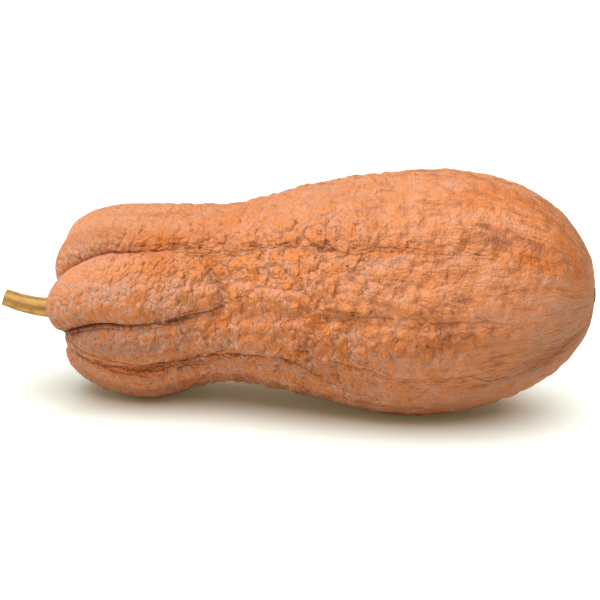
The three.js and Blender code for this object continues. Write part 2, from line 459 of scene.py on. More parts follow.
class RindColours(PropertyGroup):
    """Colours and gloss of the rind."""

    rind: colour("Rind", "The rind's own colour", (0.64, 0.255, 0.112))
    bloom: colour("Bloom", "The dusty pink bloom between the blisters", (0.58, 0.29, 0.185))
    # Painted shade and darker tone: put into the hollows between the blisters and into shaded places, and on
    # the darker side of the random mottling.
    shade_and_dark_tone: colour("Valley", "The hollows between the blisters", (0.38, 0.13, 0.055))
    nodule: colour("Nodule", "The blisters' crowns", (0.64, 0.215, 0.058))
    dot: colour("Dot", "The nodules in the bloom of the lobes", (0.60, 0.19, 0.05))
    patch: colour("Patch", "Patches of deeper orange", (0.58, 0.155, 0.024))
    # Painted shade: the dark colour painted into the creases, where shade falls.
    crease: colour("Crease", "The bottoms of creases", (0.21, 0.063, 0.02))
    scar: colour("Scar", "The corky blossom scar", (0.36, 0.22, 0.12))
    scar_dark: colour("Scar's cracks", "Dark cracks in the blossom scar", (0.16, 0.08, 0.035))
    roughness: amount("Roughness", "Gloss of the rind", 0.55, min=0, max=1)


class StalkLook(PropertyGroup):
    """Colours of the dry stalk."""

    straw: colour("Straw", "The ridges' colour", srgb(188, 148, 77))
    khaki: colour("Khaki", "The hollows between the ridges", srgb(152, 113, 53))
    brown: colour("Brown", "Dry streaks and blotches", srgb(98, 66, 30))
    pith: colour("Pith", "The fibrous cut face", srgb(190, 162, 112))


class StudioSetup(PropertyGroup):
    """The floor, the light and the camera."""

    azimuth: amount("Azimuth", "Camera angle round the squash, in degrees", 11)
    elevation: amount("Elevation", "Camera angle above the floor, in degrees", 14)
    distance: length("Distance", "From the camera to its target", 1.0)
    target_along: length("Target along", "The camera's target, along the fruit", 0.1412)
    target_height: length("Target height", "The camera's target above the floor", 0.0621)
    frame_width: length("Frame width", "Width that the camera sees at its target", 0.351)
    floor: colour("Floor", "The floor's colour", (0.80, 0.885, 0.86))
    glow: colour("Glow", "The light that the floor shows by itself", (0.08, 0.06, 0.025))
    bounce: colour("Bounce", "The floor as a reflector, darker than it looks", (0.87, 0.81, 0.67))
    sun: amount("Sun", "Strength of the light on the squash", 3.9)
    side: amount("Side", "Strength of the low light on the squash", 0.55)
    overhead: amount("Overhead", "Strength of the light on the floor", 4.2)
    room: amount("Room", "Strength of the light from all round", 0.42)
    fill: colour("Fill", "Colour of the light from all round", (1, 0.92, 0.80))


def smooth(low, high, x):
    t = np.clip((x - low) / (high - low), 0, 1)
    return t * t * (3 - 2 * t)


def mix(a, b, t):
    return a + (b - a) * t


def curve_through(rows, before, after, steps=40):
    """A Catmull-Rom curve through rows of numbers, with a row ahead of the first and one past the last."""
    rows = np.vstack((before, rows, after))
    t = (np.arange(steps) / steps)[:, None]
    pieces = []
    for p, q, r, s in zip(rows, rows[1:], rows[2:], rows[3:]):
        bend = 2 * p - 5 * q + 4 * r - s
        twist = 3 * q - p - 3 * r + s
        pieces.append(0.5 * (2 * q + (r - p) * t + bend * t**2 + twist * t**3))
    return np.vstack((*pieces, rows[-2:-1]))


def even_rings(rows, count):
    """Rings evenly spaced over the outline: their rows, distances and outward directions."""
    rows = np.array(rows, float)
    before = rows[1] * (1, -1, 0, 0) + rows[0] * (0, 0, 1, 1)
    after = rows[-2] * (1, -1, 0, 0) + rows[-1] * (0, 0, 1, 1)
    fine = curve_through(rows, before, after)
    travelled = np.concatenate(((0,), np.cumsum(np.hypot(*np.diff(fine[:, :2], axis=0).T))))
    distance = np.linspace(0, travelled[-1], count)
    spaced = np.column_stack([np.interp(distance, travelled, column) for column in fine.T])
    forward = np.gradient(spaced[:, 0], distance)
    outward = np.gradient(spaced[:, 1], distance)
    normal = np.column_stack((-outward, forward)) / np.hypot(forward, outward)[:, None]
    return spaced, distance, normal


def scatter(cell, n):
    """A repeatable number from 0 to 1 for each cell of space."""
    v = np.sin(cell @ np.array((127.1, 311.7, 74.7)) + n * 53.3) * 43758.5453
    return v - np.floor(v)


def cells(points, size):
    """Distances to the nearest and second nearest scattered points, in cells, and the nearest's number."""
    p = points / np.array(size)
    cell = np.floor(p)
    nearest = np.full(p.shape[:-1], 9.0)
    second = nearest.copy()
    number = np.zeros_like(nearest)
    for step in itertools.product((-1, 0, 1), repeat=3):
        c = cell + step
        spot = np.stack([c[..., n] + 0.1 + 0.8 * scatter(c, n) for n in range(3)], axis=-1)
        d = np.linalg.norm(spot - p, axis=-1)
        second = np.minimum(second, np.maximum(nearest, d))
        closer = d < nearest
        number = np.where(closer, scatter(c, 7), number)
        nearest = np.where(closer, d, nearest)
    return nearest, second, number


def drift(points, size, seed):
    """Smooth noise from about -1 to 1, from a random slope at each corner of space."""
    p = points / np.array(size)
    cell = np.floor(p)
    inside = p - cell
    share = inside**3 * (inside * (inside * 6 - 15) + 10)
    total = 0
    for corner in itertools.product((0, 1), repeat=3):
        slope = np.stack([scatter(cell + corner, seed + 11 * n) - 0.5 for n in range(3)], axis=-1)
        weight = np.prod(np.where(corner, share, 1 - share), axis=-1)
        total = total + weight * np.sum(slope * (inside - corner), axis=-1)
    return 3 * total


def warped(points, size, amount, seed):
    """The points, each moved a little by smooth noise."""
    return points + amount * np.stack([drift(points, size, seed + n) for n in range(3)], axis=-1)


def blisters(points, size, small, large):
    """Round blisters of mixed sizes, as a height from 0 to 1."""
    near, _, number = cells(points, size)
    reach = mix(small, large, number)
    return np.clip(1 - (near / reach) ** 2, 0, 1) ** 0.8 * reach / large


class Skin:
    """The fruit's skin as a grid of points: rings along the fruit, points around it."""

    def __init__(self, form, rings, per_rib):
        rows, distance, normal = even_rings(OUTLINE, rings)
        self.along, self.radius, self.sideways, self.height = (rows[:, n : n + 1] for n in range(4))
        self.distance = distance[:, None]
        self.total = distance[-1]
        self.normal = normal
        step = np.arange(len(GROOVES) * per_rib)
        self.rib = step // per_rib
        self.next = (self.rib + 1) % len(GROOVES)
        even = (step % per_rib) / per_rib
        self.across = even - 0.3 * np.sin(2 * np.pi * even) / (2 * np.pi)
        start = self.groove_angle(self.rib)
        end = self.groove_angle(self.next) + np.where(self.next == 0, 360, 0)
        self.degrees = mix(start, end, self.across)
        self.rib_width = np.radians(end - start) * self.radius
        self.cosine = np.cos(np.radians(self.degrees))
        self.sine = np.sin(np.radians(self.degrees))
        self.neck_groove = form.neck_groove / MM
        self.bulb_groove = form.bulb_groove / MM

    def groove_angle(self, groove):
        seat, shoulder, blossom = GROOVES[groove, :3].T
        bent = mix(seat, shoulder, smooth(*BEND, self.distance))
        return mix(bent, blossom, smooth(*TURN, self.distance))

    def place(self, lift):
        """Points that far out of the outline."""
        r = self.radius + lift * self.normal[:, 1:]
        x = self.along + lift * self.normal[:, :1]
        y = self.sideways - r * self.cosine
        return np.stack((np.broadcast_to(x, y.shape), y, self.height + r * self.sine), axis=-1)

    def patches(self, rows):
        """The sum of soft oval patches on the skin, each with its height."""
        total = 0
        for at, angle, along_half, across_half, height in rows:
            along = (self.distance - at) / along_half
            across = self.way_up(angle) / across_half
            total = total + height * np.exp(-(along**2) - across**2)
        return total

    def way_up(self, angle):
        """The way round the skin from that angle, upwards on the front."""
        return np.radians((self.degrees - angle + 180) % 360 - 180) * self.radius

    def groove_shares(self):
        """How deep the lobes' and the wide end's grooves are, and how round the ribs between them."""
        begin = smooth(SEAT_EDGE, SHOULDER, self.distance)
        past = np.maximum(0, self.distance - SHOULDER) / GROOVE_FADE
        neck = 1 / (1 + past**3)
        end = 1 - smooth(self.total - END_SMOOTH, self.total - SCAR_EDGE, self.distance)
        shallow = 1 - SHALLOW_SHARE * smooth(*SHALLOW, self.distance)
        return begin * neck * end, begin * (1 - neck) * end * shallow, neck

    def ribbed(self):
        """The lift of the ribs, grooves and folds."""
        neck, bulb, rounded = self.groove_shares()

        def depth(groove):
            lobes = self.neck_groove * neck * GROOVES[groove, 3]
            return lobes + self.bulb_groove * bulb * GROOVES[groove, 4]

        arch = (4 * self.across * (1 - self.across)) ** 0.5
        away = np.minimum(self.across, 1 - self.across) * self.rib_width
        dip = mix(np.exp(-((away / BULB_GROOVE_HALF) ** 2)), 1 - arch, rounded)
        fall = mix(depth(self.rib), depth(self.next), self.across) * dip
        crest = mix(RIB_RISE[self.rib, 0], RIB_RISE[self.rib, 1], smooth(*BEND, self.distance))
        return crest * neck * arch - fall + self.patches(FOLDS)

    def near_groove(self):
        """The way over the skin from the nearest groove, upwards, and how dark the painted shade in its
        creases is.
        """
        before = self.across < 0.5
        way = np.where(before, self.across, self.across - 1) * self.rib_width
        groove = np.where(before, self.rib, self.next)
        dark = np.column_stack([np.interp(self.distance[:, 0], CREASE_AT, row) for row in CREASES])
        edge = 1 - smooth(*CREASE_SHARE, np.minimum(self.across, 1 - self.across))
        return way, dark[:, groove] * smooth(*CREASE_START, self.distance) * edge

    def near_line(self):
        """The way over the skin from the nearest line of creases, upwards, and how strong that line is, for
        its dip and its painted shade.
        """
        nearest = np.full(self.degrees.shape, 1e3)
        side = np.ones_like(nearest)
        strength = np.zeros_like(nearest)
        for dark, line in CREASE_LINES:
            for (start, angle), (stop, turned) in zip(line, line[1:]):
                along = self.distance - start
                up = self.way_up(angle)
                run = stop - start
                rise = math.radians(turned - angle) * self.radius
                part = np.clip((along * run + up * rise) / (run**2 + rise**2), 0, 1)
                gone = np.hypot(along - part * run, up - part * rise)
                closer = gone < nearest
                nearest = np.where(closer, gone, nearest)
                side = np.where(closer, np.where(up * run > along * rise, 1, -1), side)
                strength = np.where(closer, dark, strength)
        return nearest * side, strength * smooth(LINE_REACH, LINE_REACH / 2, nearest)

    def lumps(self, bare):
        """The broad lumps' share, from -0.6 to 0.4."""
        nearest, second, _ = cells(bare, LUMP)
        lengthwise = smooth(*LUMP_START, self.distance) * (1 - smooth(*LUMP_END, self.distance))
        around = mix(LUMP_BACK_SHARE, 1, 0.5 + 0.5 * self.cosine)
        return lengthwise * around * (smooth(0, LUMP_VALLEY, second - nearest) - 0.6)

    def underside(self):
        """How far under the fruit the skin is, from 0 to 1."""
        return smooth(*UNDER[0], self.degrees) + smooth(*UNDER[1], self.degrees)

    def dotted(self):
        """How clearly orange nodules stand in pink bloom: on the lower halves of the lobes."""
        low = smooth(*LOW_ON_LOBE[0], self.degrees) + smooth(*LOW_ON_LOBE[1], self.degrees)
        return low * smooth(*DOTTED[0], self.distance) * (1 - smooth(*DOTTED[1], self.distance))

    def topside(self):
        """How near the top of the fruit the skin is, from 0 to 1."""
        return smooth(*TOP[0], self.degrees) * (1 - smooth(*TOP[1], self.degrees))

    def roughness(self, bare):
        """How blistered the skin is: most on the waist and the front, least at the blossom end."""
        neck = mix(NECK_ROUGHNESS, 1, smooth(*NECK_END, self.distance))
        lengthwise = neck * mix(1, END_ROUGHNESS, smooth(*SMOOTH_END, self.distance))
        lengthwise = lengthwise + self.patches(ROUGH_PATCHES)
        top = mix(1, TOP_ROUGHNESS, self.topside())
        low = mix(1, UNDER_ROUGHNESS, self.underside())
        patchy = 1 + 0.35 * drift(bare, *ROUGHER)
        return lengthwise * top * low * patchy * smooth(*SEAT_SKIN, self.distance)

    def scar(self):
        """The corky button at the blossom end, from 0 to 1."""
        edge = self.total - SCAR_EDGE
        return smooth(edge + SCAR_RIM[0], edge + SCAR_RIM[1], self.distance)

    def near_scar(self):
        """How near the blossom scar the skin is, from 0 to 1."""
        return smooth(self.total - NEAR_SCAR[0], self.total - NEAR_SCAR[1], self.distance)

    def on_cylinder(self, radius):
        along = self.distance * np.ones_like(self.cosine)
        return np.stack((along, radius * self.cosine, radius * self.sine), axis=-1)

    def spread(self):
        """Places on a cylinder of one radius, for streaks that narrow towards the blossom scar."""
        return self.on_cylinder(STREAK_RADIUS * np.ones_like(self.distance))

    def unbent(self):
        """Places on a straight cylinder, for patterns that run along or across the fruit."""
        return self.on_cylinder(self.radius)


def to_frame(points):
    """The source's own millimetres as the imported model's metres, by the flat round foot of the stalk."""
    foot_side = STALK_LINE[0][1] + STALK_FOOT * (1 + STALK_RIDGE_SHARE)
    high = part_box("stalk")[1]
    shift = (high.x - STALK_LINE[0][0] * MM, high.y - foot_side * MM, 0)
    return points * MM + np.array(shift)


def sphere_rings(rings, segments):
    """A closed sphere, and each of its points' ring and segment."""
    mesh = bmesh.new()
    bmesh.ops.create_uvsphere(mesh, u_segments=segments, v_segments=rings, radius=1)
    spots = np.array([vert.co for vert in mesh.verts])
    ring = np.rint(np.arccos(np.clip(spots[:, 2], -1, 1)) / math.pi * rings).astype(int)
    turn = np.arctan2(spots[:, 1], spots[:, 0]) / (2 * math.pi)
    segment = np.rint(turn * segments).astype(int) % segments
    return mesh, ring, segment


def finished(name, mesh, points, values, material):
    """A smooth-shaded object from a bmesh whose points are moved, with numbers kept on its points."""
    for vert, point in zip(mesh.verts, points):
        vert.co = point
    data = bpy.data.meshes.new(name)
    mesh.to_mesh(data)
    mesh.free()
    for key, value in values.items():
        kind = "FLOAT_VECTOR" if value.ndim == 2 else "FLOAT"
        field = "vector" if value.ndim == 2 else "value"
        attribute = data.attributes.new(key, kind, "POINT")
        attribute.data.foreach_set(field, value.astype(np.float32).ravel())
    data.shade_smooth()
    data.materials.append(material)
    piece = bpy.data.objects.new(name, data)
    bpy.context.scene.collection.objects.link(piece)
    return piece


class Nodes:
    """Adds shader nodes to one tree."""

    def __init__(self, tree):
        self.tree = tree
        self.count = 0

    def add(self, kind, inputs=None, **settings):
        node = self.tree.nodes.new(kind)
        node.location = (220 * (self.count % 8), -260 * (self.count // 8))
        self.count += 1
        for key, value in settings.items():
            setattr(node, key, value)
        for key, value in (inputs or {}).items():
            socket = node.inputs[key]
            if isinstance(value, bpy.types.NodeSocket):
                self.tree.links.new(value, socket)
            elif isinstance(value, tuple) and len(value) == 3 and socket.type == "RGBA":
                socket.default_value = (*value, 1)
            else:
                socket.default_value = value
        return node

    def attribute(self, name, output="Fac"):
        """A number, or places, kept on the piece's points."""
        return self.add("ShaderNodeAttribute", attribute_name=name).outputs[output]

    def mapped(self, place, scale=(1, 1, 1), location=(0, 0, 0)):
        return self.add(
            "ShaderNodeMapping", {"Vector": place, "Location": location, "Scale": scale}
        ).outputs["Vector"]

    def ramp(self, value, low, high):
        """The value's way from low to high as a number from 0 to 1."""
        node = self.add(
            "ShaderNodeMapRange",
            {"Value": value, "From Min": low, "From Max": high},
            interpolation_type="SMOOTHSTEP",
        )
        return node.outputs["Result"]

    def math(self, operation, first, second=0.0, third=0.0):
        node = self.add("ShaderNodeMath", {0: first, 1: second, 2: third}, operation=operation)
        return node.outputs["Value"]

    def total(self, start, *parts):
        """The start plus each part times its share."""
        for part, share in parts:
            start = self.math("MULTIPLY_ADD", part, share, start)
        return start

    def blend(self, share, first, second, kind="MIX"):
        node = self.add("ShaderNodeMix", data_type="RGBA", blend_type=kind)
        for index, value in ((0, share), (6, first), (7, second)):
            socket = node.inputs[index]
            if isinstance(value, bpy.types.NodeSocket):
                self.tree.links.new(value, socket)
            else:
                socket.default_value = (*value, 1) if isinstance(value, tuple) else value
        return node.outputs[2]

    def noise(self, place, scale, detail, roughness):
        node = self.add(
            "ShaderNodeTexNoise",
            {"Vector": place, "Scale": scale, "Detail": detail, "Roughness": roughness},
        )
        return node.outputs["Fac"]

    def finish(self, inputs):
        """Ends the material in a Principled shader with those inputs."""
        shader = self.add("ShaderNodeBsdfPrincipled", inputs)
        self.add("ShaderNodeOutputMaterial", {"Surface": shader.outputs["BSDF"]})


def new_material(name):
    material = bpy.data.materials.new(name)
    material.use_nodes = True
    material.node_tree.nodes.clear()
    return material, Nodes(material.node_tree)


def painted_blisters(nodes, place, scale, wider, seed):
    """Round blisters, that many to the metre along and fewer across, as a height from 0 to 1."""
    moved = nodes.mapped(place, scale=(1, 1 / wider, 1 / wider), location=(seed, seed, seed))
    noise = nodes.add("ShaderNodeTexNoise", {"Vector": moved, "Scale": scale * 0.8, "Detail": 2.0})
    shift = {0: noise.outputs["Color"], "Scale": 0.22 / scale}
    shift = nodes.add("ShaderNodeVectorMath", shift, operation="SCALE").outputs["Vector"]
    there = nodes.add("ShaderNodeVectorMath", {0: moved, 1: shift}, operation="ADD").outputs["Vector"]
    spots = nodes.add("ShaderNodeTexVoronoi", {"Vector": there, "Scale": scale})
    number = nodes.add("ShaderNodeSeparateColor", {"Color": spots.outputs["Color"]}).outputs["Red"]
    reach = nodes.math("MULTIPLY_ADD", number, 0.45, 0.5)
    part = nodes.math("DIVIDE", spots.outputs["Distance"], reach)
    round_top = nodes.math("SUBTRACT", 1.0, nodes.math("MULTIPLY", part, part))
    return nodes.math("MULTIPLY", nodes.math("MAXIMUM", round_top, 0.0), reach)


def painted_crease(nodes, place, way, wander, offset, width, seed, gap):
    """A thin line of painted shade that wanders beside a groove or a line of creases and breaks off in
    places.
    """
    moved = nodes.mapped(place, location=(seed, 0, 0))
    bend = nodes.noise(moved, *CREASE_BEND)
    side = nodes.math("MULTIPLY", nodes.math("SUBTRACT", bend, 0.5), wander)
    away = nodes.math("ABSOLUTE", nodes.math("ADD", nodes.math("ADD", way, side), offset * MM))
    line = nodes.ramp(away, width * MM, 0.0)
    broken = nodes.noise(moved, *CREASE_BREAKS)
    return nodes.math("MULTIPLY", line, nodes.ramp(broken, gap, gap + CREASE_FADE))


def painted_creases(nodes, place, at):
    """All the lines of painted shade along the grooves and the lines of creases, from 0 to 1."""
    loose_wander = nodes.total(CREASE_WANDERS[0] * MM, (at["loose"], CREASE_WANDERS[1] * MM))
    kinds = (
        (at["groove_way"], at["groove_strength"], loose_wander, GROOVE_CREASES),
        (at["line_way"], at["line_strength"], LINE_WANDERS * MM, LINE_CREASES),
    )
    crease = 0.0
    for way, strength, wander, creases in kinds:
        for share, *shape in creases:
            line = painted_crease(nodes, place, way, wander, *shape)
            line = nodes.math("MULTIPLY", line, nodes.math("MULTIPLY", strength, share))
            crease = nodes.math("MAXIMUM", crease, line)
    return crease


def rind_patterns(nodes, at):
    """The patterns painted on the rind, by name, each from 0 to 1."""
    place = nodes.add("ShaderNodeTexCoord").outputs["Object"]
    unbent = nodes.attribute("unbent", "Vector")
    ways = {"unbent": unbent, "spread": nodes.attribute("spread", "Vector")}
    patterns = {name: nodes.noise(place, *noise) for name, noise in CLOUDS.items()}
    for name, blister in PAINTED_BLISTERS.items():
        patterns[name] = painted_blisters(nodes, unbent, *blister)
    for name, (way, scale, *noise) in WRINKLES.items():
        patterns[name] = nodes.noise(nodes.mapped(ways[way], scale=scale), 1, *noise)
    patterns["crease"] = painted_creases(nodes, unbent, at)
    return patterns


def rind_colour(nodes, at, patterns, colours):
    """Orange rind with its bloom, blisters, patches and scar, painted shade in the hollows and creases, and
    painted light and shade in patches.
    """

    def share(start, **places):
        return nodes.total(start, *((at[name], part) for name, part in places.items()))

    medium = patterns["medium"]
    small = patterns["small"]
    crown = nodes.total(0.0, (medium, share(1.0, lobe=-0.5)), (small, share(0.5, lobe=0.4)))
    crown = nodes.ramp(crown, *CROWN_RANGE)
    # The hollows between the painted blisters, where painted shade goes.
    gap = nodes.math("MULTIPLY", nodes.ramp(medium, 0.14, 0.0), nodes.ramp(small, 0.3, 0.0))
    pale = nodes.total(at["bloom"], (at["dotted"], DOTTED_PALE))
    for name, (start, places) in PALE_SHARES.items():
        swing = nodes.math("SUBTRACT", patterns[name], 0.5)
        pale = nodes.total(pale, (swing, share(start, **places)))
    dots = nodes.ramp(nodes.math("MAXIMUM", small, medium), *DOT_RANGE)
    dots = nodes.math("MULTIPLY", at["dotted"], dots)
    patch = nodes.math("ADD", patterns["mottle"], nodes.math("MULTIPLY", crown, 0.2))
    layers = (
        (nodes.ramp(pale, *BLOOM_RANGE), colours.bloom),
        (nodes.math("MULTIPLY", crown, share(0.3, rough=0.5)), colours.nodule),
        # Painted shade in the hollows between the blisters.
        (nodes.math("MULTIPLY", gap, share(0.15, rough=0.5)), colours.shade_and_dark_tone),
        (nodes.math("MULTIPLY", dots, share(0.75, under=-0.25)), colours.dot),
        (nodes.math("MULTIPLY", at["orange"], nodes.ramp(patch, *PATCH_RANGE)), colours.patch),
        # Painted shade along the creases.
        (nodes.math("MULTIPLY", patterns["crease"], CREASE_DARK), colours.crease),
    )
    # Low paleness turns the rind to the darker painted shade and tone.
    base = nodes.blend(nodes.ramp(pale, *RIND_RANGE), tuple(colours.shade_and_dark_tone), tuple(colours.rind))
    for part, tint in layers:
        base = nodes.blend(part, base, tuple(tint))
    # Painted light and shade from the tone patches, multiplied into the colour.
    base = nodes.blend(1.0, base, at["tone"], "MULTIPLY")
    cork = nodes.ramp(patterns["crinkle"], *CORK_RANGE)
    corky = nodes.blend(cork, tuple(colours.scar_dark), tuple(colours.scar))
    return nodes.blend(nodes.math("MULTIPLY", at["scar"], 0.9), base, corky)


def rind_height(nodes, at, patterns):
    """The height of the painted patterns, in millimetres."""
    height = 0.0
    for name, (scaled_by, start, places) in PAINTED_HEIGHTS.items():
        share = nodes.total(start, *((at[place], part) for place, part in places.items()))
        if scaled_by:
            share = nodes.math("MULTIPLY", at[scaled_by], share)
        height = nodes.total(height, (patterns[name], share))
    return height


def rind_material(colours):
    """Waxy rind: orange blisters, painted shade in the valleys and creases, a pinkish bloom and a corky
    scar.
    """
    material, nodes = new_material("Waxy rind")
    at = {name: nodes.attribute(name) for name in RIND_NUMBERS}
    at["lobe"] = nodes.math("SUBTRACT", 1.0, at["loose"])
    at["even"] = nodes.total(0.35, (at["rough"], 0.5))
    patterns = rind_patterns(nodes, at)
    base = rind_colour(nodes, at, patterns, colours)
    bump = {"Height": rind_height(nodes, at, patterns), "Strength": 1.0, "Distance": MM}
    nodes.finish({
        "Base Color": base,
        "Roughness": colours.roughness,
        "Specular IOR Level": 0.3,
        "Normal": nodes.add("ShaderNodeBump", bump).outputs["Normal"],
        "Subsurface Weight": 0.08,
        "Subsurface Radius": (1.0, 0.4, 0.2),
        "Subsurface Scale": 0.002,
    })
    return material


def stalk_material(look):
    """Dry fibrous stalk: straw ridges, khaki hollows, brown streaks, a pale fibrous cut."""
    material, nodes = new_material("Dry stalk")
    straight = nodes.attribute("straight", "Vector")
    ridge = nodes.attribute("ridge")
    cut = nodes.attribute("cut")
    fibres = nodes.noise(nodes.mapped(straight, scale=(1, 1, 0.12)), *FIBRES)
    blotch = nodes.ramp(nodes.noise(straight, *BLOTCHES), 0.5, 0.68)
    streak = nodes.ramp(fibres, 0.42, 0.3)
    straw = nodes.ramp(nodes.math("ADD", ridge, nodes.math("MULTIPLY", fibres, 0.6)), 0.3, 1.1)
    base = nodes.blend(straw, tuple(look.khaki), tuple(look.straw))
    base = nodes.blend(nodes.math("MULTIPLY", blotch, 0.4), base, tuple(look.brown))
    base = nodes.blend(nodes.math("MULTIPLY", streak, 0.5), base, tuple(look.brown))
    base = nodes.blend(cut, base, tuple(look.pith))
    bump = nodes.add("ShaderNodeBump", {"Height": fibres, "Strength": 0.7, "Distance": 0.6 * MM})
    nodes.finish({"Base Color": base, "Roughness": 0.75, "Normal": bump.outputs["Normal"]})
    return material


def blistered(form, skin, rough):
    """The lift of the blisters, the soft rolls and the wandering creases."""
    unbent = skin.unbent()
    bent = warped(warped(unbent, *BROAD_WARP), *FINE_WARP)
    big = blisters(bent, *BIG_BLISTERS)
    middling = blisters(warped(unbent, *SMALL_WARP), *MIDDLING_BLISTERS)
    crowded = smooth(*CROWDED, drift(unbent, *CROWDING))
    rolling = drift(unbent, *ROLLS) + 0.5 * drift(bent, *SMALL_ROLLS)
    wander = drift(bent, *CREASE_WANDER) + 0.4 * drift(bent, *SMALL_CREASE_WANDER)
    creased = np.exp(-((wander / CREASE_HALF) ** 2))

    domes = form.blister_height * big * mix(SPARSE_SHARE, 1, crowded) + form.crinkle_height * middling
    raised = rough * mix(NECK_RAISED, 1, smooth(*NECK_END, skin.distance))
    raised = raised * mix(1, TOP_RAISED, skin.topside()) * mix(1, UNDER_RAISED, skin.underside())
    relief = raised / MM * (domes + form.roll_height * rolling - form.crease_depth * creased)
    return relief - BLISTERS_SUNK * raised * form.blister_height / MM


class SQUASH_OT_fruit(Operator):
    """Make the fruit: ribbed, wrinkled and blistered, with its waxy rind."""

    bl_idname = "squash.fruit"
    bl_label = "Fruit"

    def execute(self, context):
        form = context.scene.squash_form
        skin = Skin(form, form.rings + 1, form.around)
        ribbed = skin.ribbed()
        bare = skin.place(ribbed)
        rest = smooth(0, REST_CLEAR, bare[..., 2])
        lumps = skin.lumps(bare) * rest
        rough = skin.roughness(bare) * mix(REST_ROUGHNESS, 1, rest)
        line_way, line_strength = skin.near_line()
        dipped = LINE_DIP_DEPTH * line_strength * np.exp(-((line_way / LINE_DIP_HALF) ** 2))
        relief = blistered(form, skin, rough)
        points = skin.place(ribbed + form.lump_height / MM * lumps + relief - dipped)
        points[..., 2] = np.maximum(0, points[..., 2])

        way, strength = skin.near_groove()
        all_round = np.ones_like(rough)
        values = {
            "unbent": skin.unbent() * MM,
            "spread": skin.spread() * MM,
            "scar": skin.scar() * all_round,
            "rough": rough,
            "groove_way": way * MM,
            "groove_strength": strength,
            "line_way": line_way * MM,
            "line_strength": line_strength,
            "end": smooth(*WIDE_END, skin.distance) * (1 - 0.6 * skin.near_scar()) * all_round,
            "loose": smooth(*LOOSE, skin.distance) * all_round,
            # bloom: the waxy bloom, and in some patches painted light and shade
            "bloom": 0.5 + skin.patches(BLOOM_LIGHT_AND_SHADE_PATCHES),
            "orange": np.clip(skin.patches(ORANGE_PATCHES), 0, 1),
            "under": skin.underside(),
            # tone: painted light and shade, paler and darker patches multiplied into the rind's colour
            "tone": 1 + skin.patches(PAINTED_LIGHT_AND_SHADE_PATCHES),
            "dotted": skin.dotted(),
        }

        mesh, ring, segment = sphere_rings(form.rings, len(GROOVES) * form.around)
        picked = {key: value[ring, segment] for key, value in values.items()}
        material = rind_material(context.scene.squash_rind)
        piece = finished("Fruit", mesh, to_frame(points[ring, segment]), picked, material)
        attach(piece, "root")
        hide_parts("fruit")
        return {"FINISHED"}


class SQUASH_OT_stalk(Operator):
    """Make the dry stalk: five-ridged, flared at the foot, cut at the tip."""

    bl_idname = "squash.stalk"
    bl_label = "Stalk"

    def execute(self, context):
        line = np.array(STALK_LINE, float)
        line[0, 0] += STALK_SUNK
        fine = curve_through(line, 2 * line[0] - line[1], 2 * line[-1] - line[-2])
        travelled = np.concatenate(((0,), np.cumsum(np.linalg.norm(np.diff(fine, axis=0), axis=1))))
        total = travelled[-1]
        mesh, ring, segment = sphere_rings(STALK_RINGS, STALK_SEGMENTS)
        body = np.clip((ring - FOOT_RINGS) / (STALK_RINGS - FOOT_RINGS - CUT_RINGS), 0, 1)
        inward = np.minimum(ring / FOOT_RINGS, (STALK_RINGS - ring) / CUT_RINGS).clip(0, 1)

        def along_line(columns):
            return np.column_stack([np.interp(body * total, travelled, column) for column in columns.T])

        centre = along_line(fine)
        ahead = along_line(np.gradient(fine, travelled, axis=0))
        ahead /= np.linalg.norm(ahead, axis=1)[:, None]
        side = np.cross(ahead, (0, 0, 1))
        side /= np.linalg.norm(side, axis=1)[:, None]
        lift = np.cross(side, ahead)
        angle = 2 * np.pi * segment / STALK_SEGMENTS
        foot = (STALK_FOOT - STALK_WAIST) * (1 - smooth(0, STALK_FOOT_LENGTH, body))
        plain = mix(STALK_WAIST, STALK_TIP, body) + foot
        wave = np.cos(STALK_RIDGES * angle)
        twist = np.cos(STALK_RIDGES * (angle + STALK_TWIST * body) + STALK_TURN)
        ridged = 1 + STALK_RIDGE_SHARE * (1 - 0.5 * body) * wave
        unbent = np.column_stack((np.cos(angle) * 6, np.sin(angle) * 6, body * total))
        rough = 0.25 * drift(unbent, *STALK_GRAIN) + 0.3 * drift(unbent, *STALK_KNOBS)
        radius = (plain * ridged + rough) * inward
        hollow = np.where(ring > STALK_RINGS - CUT_RINGS, 1 - inward, 0)
        flat = unbent * np.column_stack((inward, inward, np.ones_like(inward)))
        dish = -CUT_DEPTH * smooth(*CUT_HOLLOW, hollow) + 0.25 * drift(flat, *CUT_GRAIN) * (hollow > 0)
        points = centre + ahead * dish[:, None]
        points += side * (radius * np.cos(angle))[:, None] + lift * (radius * np.sin(angle))[:, None]
        values = {
            "straight": np.column_stack((radius * np.cos(angle), radius * np.sin(angle), body * total)) * MM,
            "ridge": 0.5 + 0.5 * twist * 0.3 + 0.35 * wave,
            "cut": smooth(*CUT_EDGE, hollow),
        }
        material = stalk_material(context.scene.squash_stalk)
        piece = finished("Stalk", mesh, to_frame(points), values, material)
        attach(piece, "root")
        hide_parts("stalk")
        return {"FINISHED"}


def facing(azimuth, elevation):
    """The way towards a place at those angles in degrees; azimuth 0 is the front (-Y)."""
    a = math.radians(azimuth)
    e = math.radians(elevation)
    return Vector((math.sin(a) * math.cos(e), -math.cos(a) * math.cos(e), math.sin(e)))


def soft_sun(name, azimuth, elevation, width, strength, lit):
    """A wide soft light on those pieces, its angles and width in degrees."""
    light = bpy.data.lights.new(name, "SUN")
    light.angle = math.radians(width)
    light.energy = strength
    lamp = bpy.data.objects.new(name, light)
    lamp.rotation_euler = facing(azimuth, elevation).to_track_quat("Z", "Y").to_euler()
    bpy.context.scene.collection.objects.link(lamp)
    receivers = bpy.data.collections.new(f"Lit by {name}")
    for piece in lit:
        receivers.objects.link(piece)
    lamp.light_linking.receiver_collection = receivers


